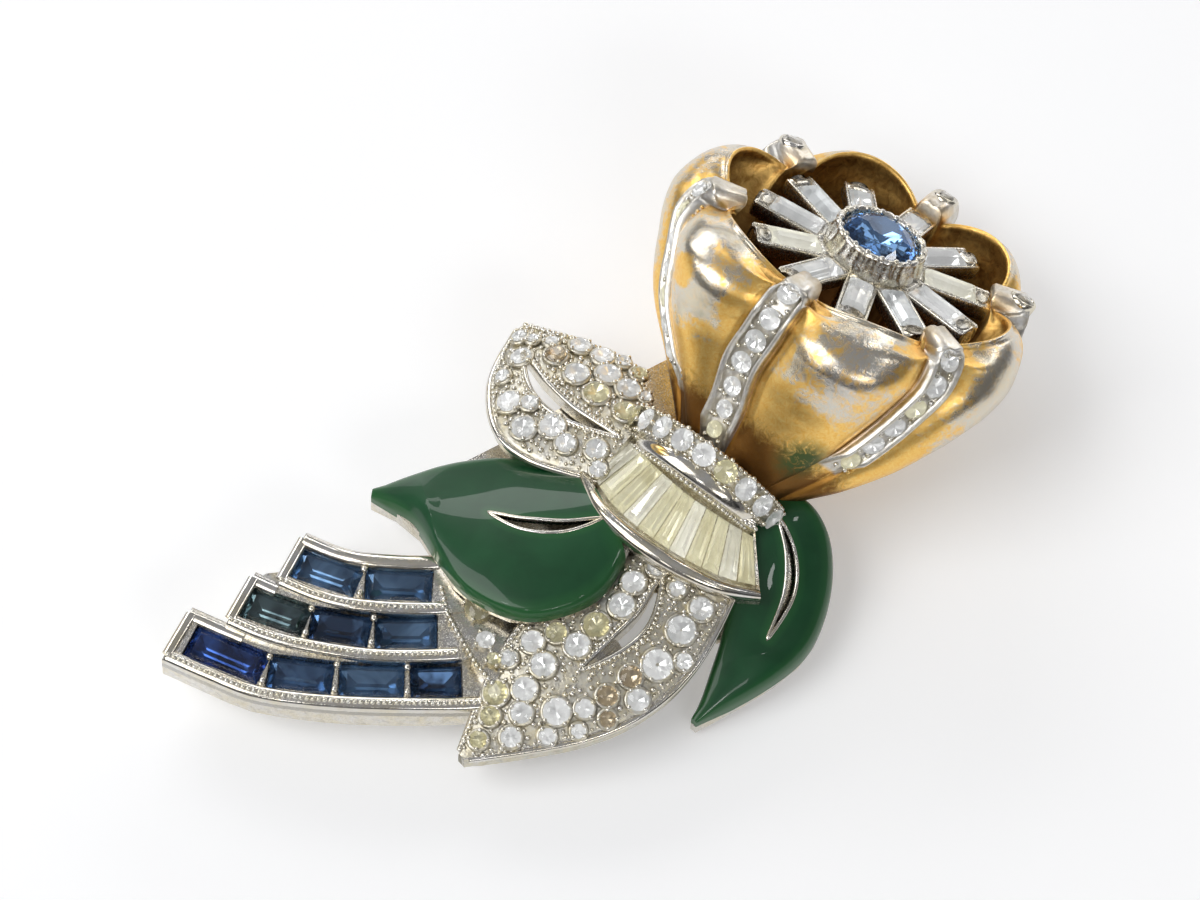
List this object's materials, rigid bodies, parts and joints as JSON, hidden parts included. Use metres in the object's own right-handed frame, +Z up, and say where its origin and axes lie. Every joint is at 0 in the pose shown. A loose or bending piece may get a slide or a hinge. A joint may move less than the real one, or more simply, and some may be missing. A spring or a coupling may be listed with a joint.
{
  "type": "flower clip of a double clip brooch",
  "caption": "Trembling flower dress clip: hollow gilt petals with stone-set seams round a baguette star, enamelled and paved leaves, a stepped baguette tail and a sprung flat lever behind.",
  "frame": {"origin": "middle of the clip's footprint on the surface it lies on, lever underneath", "axes": "+X from the tail of blue stones to the flower, +Z up out of the surface the lever lies on, +Y to the left of +X seen from above"},
  "size_m": [0.0564, 0.0286, 0.0167],
  "materials": {
    "rhodium": "aged rhodium plate, softly worn, with some yellowing",
    "gilt": "gold plate worn to silver grey on the petals' bulges, brown in the hollows",
    "enamel": "glossy translucent dark green enamel",
    "clear_stone": "foil-backed clear step-cut stones",
    "straw_stone": "foil-backed clear stones yellowed to pale straw",
    "blue_stone": "foil-backed dark steel-blue step-cut stones",
    "sky_stone": "bright light blue round stone",
    "back_metal": "aged plain plated metal"
  },
  "bodies": {
    "clip_body": {"base_casting": "rhodium", "large_leaf_enamel": "enamel", "small_leaf_enamel": "enamel", "flower_cup": "gilt", "trembler_star": "rhodium", "star_post": "rhodium", "centre_stone": "sky_stone", "star_baguette_01": "clear_stone", "star_baguette_02": "clear_stone", "star_baguette_03": "clear_stone", "star_baguette_04": "clear_stone", "star_baguette_05": "clear_stone", "star_baguette_06": "clear_stone", "star_baguette_07": "clear_stone", "star_baguette_08": "clear_stone", "star_baguette_09": "clear_stone", "star_baguette_10": "clear_stone", "star_baguette_11": "clear_stone", "fan_baguette_01": "straw_stone", "fan_baguette_02": "straw_stone", "fan_baguette_03": "straw_stone", "fan_baguette_04": "straw_stone", "fan_baguette_05": "straw_stone", "fan_baguette_06": "straw_stone", "fan_baguette_07": "straw_stone", "fan_baguette_08": "straw_stone", "fan_baguette_09": "straw_stone", "fan_baguette_10": "straw_stone", "fan_baguette_11": "straw_stone", "tail_stone_01": "blue_stone", "tail_stone_02": "blue_stone", "tail_stone_03": "blue_stone", "tail_stone_04": "blue_stone", "tail_stone_05": "blue_stone", "tail_stone_06": "blue_stone", "tail_stone_07": "blue_stone", "tail_stone_08": "blue_stone", "tail_stone_09": "blue_stone", "hinge_pin": "back_metal"},
    "lever": {"clip_lever": "back_metal"}
  },
  "joints": [
    {"name": "lever_hinge", "type": "hinge", "parent": "clip_body", "child": "lever", "pos_m": [0.00662, 0.00098, 0.00125], "axis": [0, -1, 0], "range_deg": [0, 50], "stiffness_Nm_per_rad": 0.01, "springref_deg": -9.74}
  ]
}
